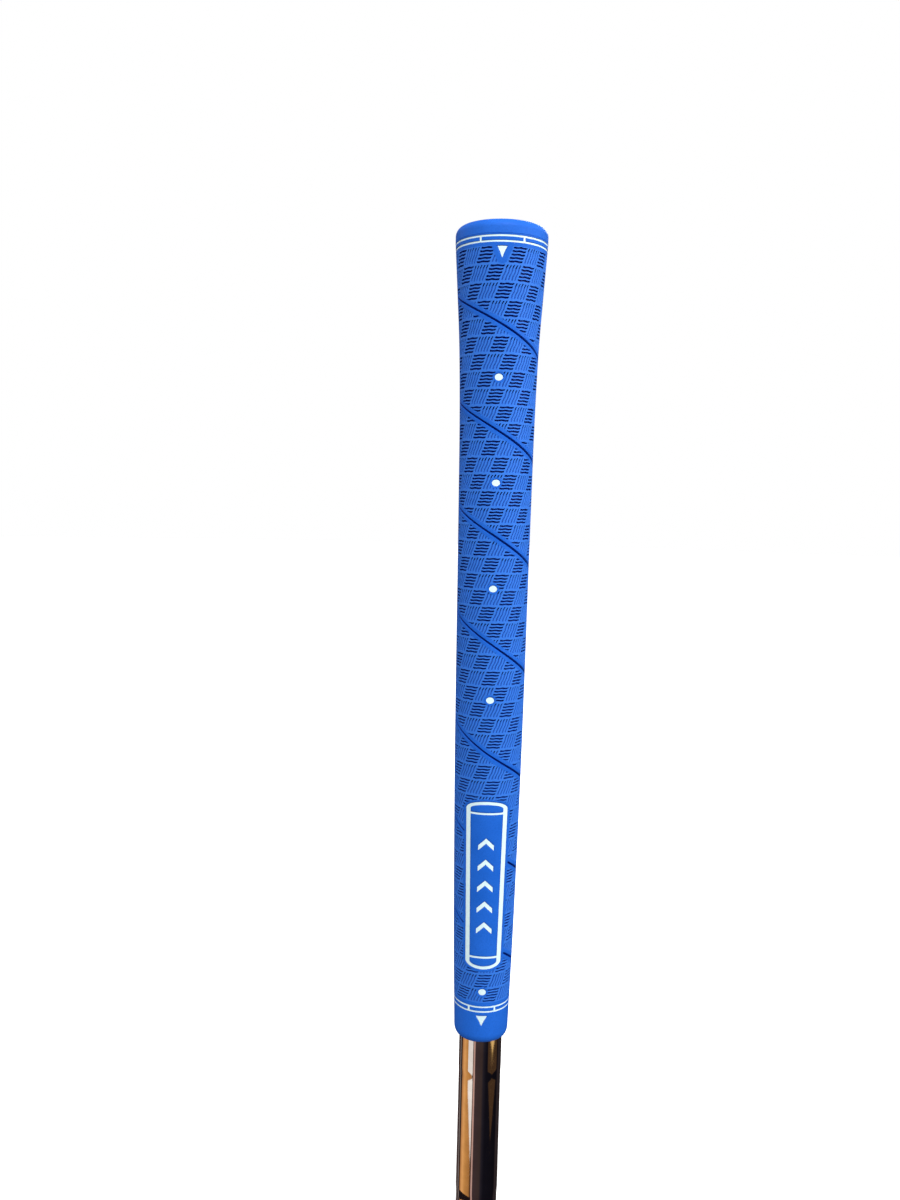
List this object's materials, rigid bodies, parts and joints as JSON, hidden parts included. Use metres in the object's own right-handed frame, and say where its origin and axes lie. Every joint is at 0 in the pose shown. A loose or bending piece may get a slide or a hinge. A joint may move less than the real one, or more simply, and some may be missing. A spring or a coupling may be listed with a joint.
{
  "type": "golf grip",
  "caption": "Tapered rubber golf grip with a spiral groove, white enamel rings, arrows, dots and a framed panel, taped on a stepped steel shaft end.",
  "frame": {"origin": "centre of the cut end of the shaft", "axes": "+Z along the club's axis towards the butt of the grip, -Y towards the side with the white marks"},
  "size_m": [0.0298, 0.0298, 0.342],
  "materials": {
    "shaft": "polished chrome plate on steel tube",
    "tape": "crepe paper tape with adhesive on both sides",
    "sleeve": "matt moulded rubber, bright blue",
    "cap": "smooth moulded rubber, bright blue",
    "enamel": "soft white enamel wiped into recesses"
  },
  "bodies": {
    "root": {"shaft_tube": "shaft", "grip_tape": "tape", "rubber_sleeve": "sleeve", "butt_cap": "cap", "butt_ring_enamel": "enamel", "tip_ring_enamel": "enamel", "butt_arrow_enamel": "enamel", "tip_arrow_enamel": "enamel", "badge_frame_enamel": "enamel", "dot_enamel_1": "enamel", "dot_enamel_2": "enamel", "dot_enamel_3": "enamel", "dot_enamel_4": "enamel", "dot_enamel_5": "enamel", "chevron_enamel_1": "enamel", "chevron_enamel_2": "enamel", "chevron_enamel_3": "enamel", "chevron_enamel_4": "enamel", "chevron_enamel_5": "enamel"}
  },
  "joints": []
}
